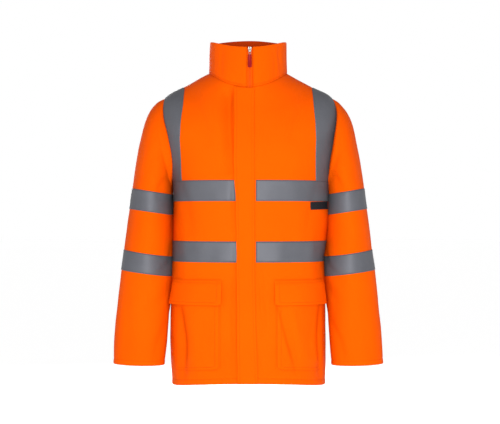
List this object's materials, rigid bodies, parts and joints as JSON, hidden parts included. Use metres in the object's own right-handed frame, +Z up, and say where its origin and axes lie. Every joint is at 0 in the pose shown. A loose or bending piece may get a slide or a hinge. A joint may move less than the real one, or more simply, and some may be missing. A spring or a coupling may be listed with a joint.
{
  "type": "hi-vis work jacket, worn shape with no wearer",
  "caption": "Long-sleeved waterproof hi-vis work jacket, filled out as worn, with stand collar, storm flap over a zip, flapped patch pockets and reflective tapes.",
  "frame": {"origin": "middle of the neck base between the shoulders, where a wearer's neck and shoulders hold the jacket", "axes": "+Z up through the collar, -Y out of the front, +X to the wearer's left"},
  "size_m": [0.6606, 0.2914, 0.8568],
  "materials": {
    "orange_cloth": "fluorescent orange woven polyester with a smooth waterproof coating, low sheen",
    "reflective_tape": "grey glass-bead retroreflective tape, satin, sewn along both edges",
    "zip_tape": "orange woven zip tape with a moulded coil",
    "nickel": "nickel-plated die-cast metal, lightly polished",
    "red_rubber": "moulded dark red rubber, satin",
    "black_label": "black woven tab, plain"
  },
  "bodies": {
    "jacket": {"front_left": "orange_cloth", "front_right": "orange_cloth", "back": "orange_cloth", "sleeve_left": "orange_cloth", "sleeve_right": "orange_cloth", "collar": "orange_cloth", "storm_flap": "orange_cloth", "pocket_left": "orange_cloth", "pocket_right": "orange_cloth", "pocket_flap_left": "orange_cloth", "pocket_flap_right": "orange_cloth", "chest_tape_front_left": "reflective_tape", "chest_tape_front_right": "reflective_tape", "chest_tape_back": "reflective_tape", "waist_tape_front_left": "reflective_tape", "waist_tape_front_right": "reflective_tape", "waist_tape_back": "reflective_tape", "shoulder_tape_front_left": "reflective_tape", "shoulder_tape_front_right": "reflective_tape", "shoulder_tape_back_left": "reflective_tape", "shoulder_tape_back_right": "reflective_tape", "sleeve_tape_upper_left": "reflective_tape", "sleeve_tape_upper_right": "reflective_tape", "sleeve_tape_lower_left": "reflective_tape", "sleeve_tape_lower_right": "reflective_tape", "zip_chain": "zip_tape", "zip_slider": "nickel", "zip_slider_bridge": "nickel", "label": "black_label"},
    "zip_pull": {"zip_pull_link": "nickel", "zip_pull_tag": "red_rubber"}
  },
  "joints": [
    {"name": "zip_pull_swing", "type": "hinge", "parent": "jacket", "child": "zip_pull", "pos_m": [0.004, -0.10865, 0.0485], "axis": [1, 0, 0], "range_deg": [-165, 2]}
  ]
}
